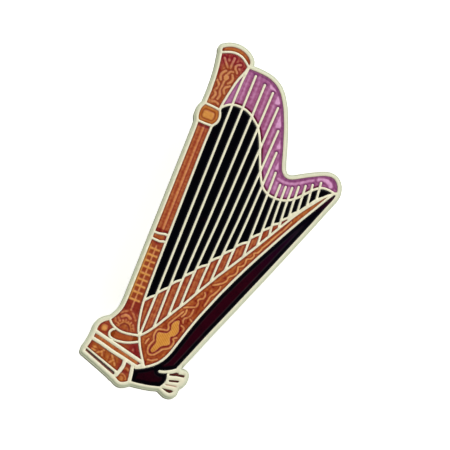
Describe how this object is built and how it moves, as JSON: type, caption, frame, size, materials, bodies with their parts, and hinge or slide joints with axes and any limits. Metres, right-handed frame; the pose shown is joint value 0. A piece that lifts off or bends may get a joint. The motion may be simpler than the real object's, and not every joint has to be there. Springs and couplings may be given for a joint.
{
  "type": "harp-shaped enamel lapel pin",
  "caption": "Lapel pin shaped as an orchestral pedal harp: a struck gold-coloured plate with enamel cells, posts at the back and butterfly clutches that slide off.",
  "frame": {"origin": "middle of the plate's outline, on the level surface that the clutches' wing tips stand on", "axes": "+Z out of the enamelled front, +Y towards the harp's crown, +X towards the harp's soundbox"},
  "size_m": [0.0222, 0.0436, 0.0102],
  "materials": {
    "gold_plate": "polished pale gold plating on a struck metal plate",
    "nickel_plate": "nickel-plated pressed sheet and turned posts",
    "orange_enamel": "glossy translucent enamel over struck relief",
    "brown_enamel": "glossy translucent enamel over struck relief",
    "crimson_enamel": "glossy translucent enamel over struck relief",
    "purple_enamel": "glossy translucent enamel over struck relief",
    "black_enamel": "glossy dark enamel",
    "umber_enamel": "glossy dark enamel"
  },
  "bodies": {
    "pin": {"plate": "gold_plate", "upper_post": "nickel_plate", "lower_post": "nickel_plate", "crown_enamel": "orange_enamel", "capital_enamel": "crimson_enamel", "knob_enamel": "orange_enamel", "column_enamel": "brown_enamel", "column_ring_enamel": "orange_enamel", "column_foot_enamel": "brown_enamel", "base_left_enamel": "brown_enamel", "base_crescent_enamel": "orange_enamel", "base_wedge_enamel": "crimson_enamel", "base_moulding_enamel": "orange_enamel", "base_panel_enamel": "brown_enamel", "base_scroll_enamel": "brown_enamel", "soundboard_enamel": "orange_enamel", "soundbox_enamel": "black_enamel", "neck_wedge_enamel": "purple_enamel", "neck_enamel": "purple_enamel", "open_string_enamel_01": "black_enamel", "open_string_enamel_02": "black_enamel", "open_string_enamel_03": "black_enamel", "open_string_enamel_04": "black_enamel", "open_string_enamel_05": "black_enamel", "open_string_enamel_06": "black_enamel", "open_string_enamel_07": "black_enamel", "open_string_enamel_08": "black_enamel", "open_string_enamel_09": "black_enamel", "open_string_enamel_10": "black_enamel", "open_string_enamel_11": "black_enamel", "open_string_enamel_12": "black_enamel", "open_string_enamel_13": "black_enamel", "open_string_enamel_14": "black_enamel", "open_string_enamel_15": "black_enamel", "open_string_enamel_16": "black_enamel", "soundboard_band_enamel_01": "brown_enamel", "soundboard_band_enamel_02": "brown_enamel", "soundboard_band_enamel_03": "brown_enamel", "soundboard_band_enamel_04": "brown_enamel", "soundboard_band_enamel_05": "brown_enamel", "soundboard_band_enamel_06": "brown_enamel", "soundboard_band_enamel_07": "brown_enamel", "soundboard_band_enamel_08": "brown_enamel", "soundboard_band_enamel_09": "brown_enamel", "soundboard_band_enamel_10": "brown_enamel", "soundboard_band_enamel_11": "brown_enamel", "soundboard_band_enamel_12": "brown_enamel", "base_groove_enamel": "umber_enamel", "pedal_slot_upper_enamel": "umber_enamel", "pedal_slot_middle_enamel": "umber_enamel", "pedal_slot_lower_enamel": "umber_enamel"},
    "upper_clutch": {"upper_clutch_cup": "nickel_plate", "upper_clutch_spring": "nickel_plate"},
    "upper_wing_right": {"upper_clutch_wing_right": "nickel_plate"},
    "upper_wing_left": {"upper_clutch_wing_left": "nickel_plate"},
    "lower_clutch": {"lower_clutch_cup": "nickel_plate", "lower_clutch_spring": "nickel_plate"},
    "lower_wing_right": {"lower_clutch_wing_right": "nickel_plate"},
    "lower_wing_left": {"lower_clutch_wing_left": "nickel_plate"}
  },
  "joints": [
    {"name": "upper_clutch_slide", "type": "slide", "parent": "pin", "child": "upper_clutch", "axis": [0, 0, -1], "range_m": [0, 0.0066]},
    {"name": "upper_wing_right_pinch", "type": "hinge", "parent": "upper_clutch", "child": "upper_wing_right", "pos_m": [0.00022, 0.00841, 0.00405], "axis": [0, 1, 0], "range_deg": [0, 12], "stiffness_Nm_per_rad": 0.05},
    {"name": "upper_wing_left_pinch", "type": "hinge", "parent": "upper_clutch", "child": "upper_wing_left", "pos_m": [-0.00428, 0.00841, 0.00405], "axis": [0, -1, 0], "range_deg": [0, 12], "stiffness_Nm_per_rad": 0.05},
    {"name": "lower_clutch_slide", "type": "slide", "parent": "pin", "child": "lower_clutch", "axis": [0, 0, -1], "range_m": [0, 0.0066]},
    {"name": "lower_wing_right_pinch", "type": "hinge", "parent": "lower_clutch", "child": "lower_wing_right", "pos_m": [-0.00038, -0.00959, 0.00405], "axis": [0, 1, 0], "range_deg": [0, 12], "stiffness_Nm_per_rad": 0.05},
    {"name": "lower_wing_left_pinch", "type": "hinge", "parent": "lower_clutch", "child": "lower_wing_left", "pos_m": [-0.00488, -0.00959, 0.00405], "axis": [0, -1, 0], "range_deg": [0, 12], "stiffness_Nm_per_rad": 0.05}
  ]
}
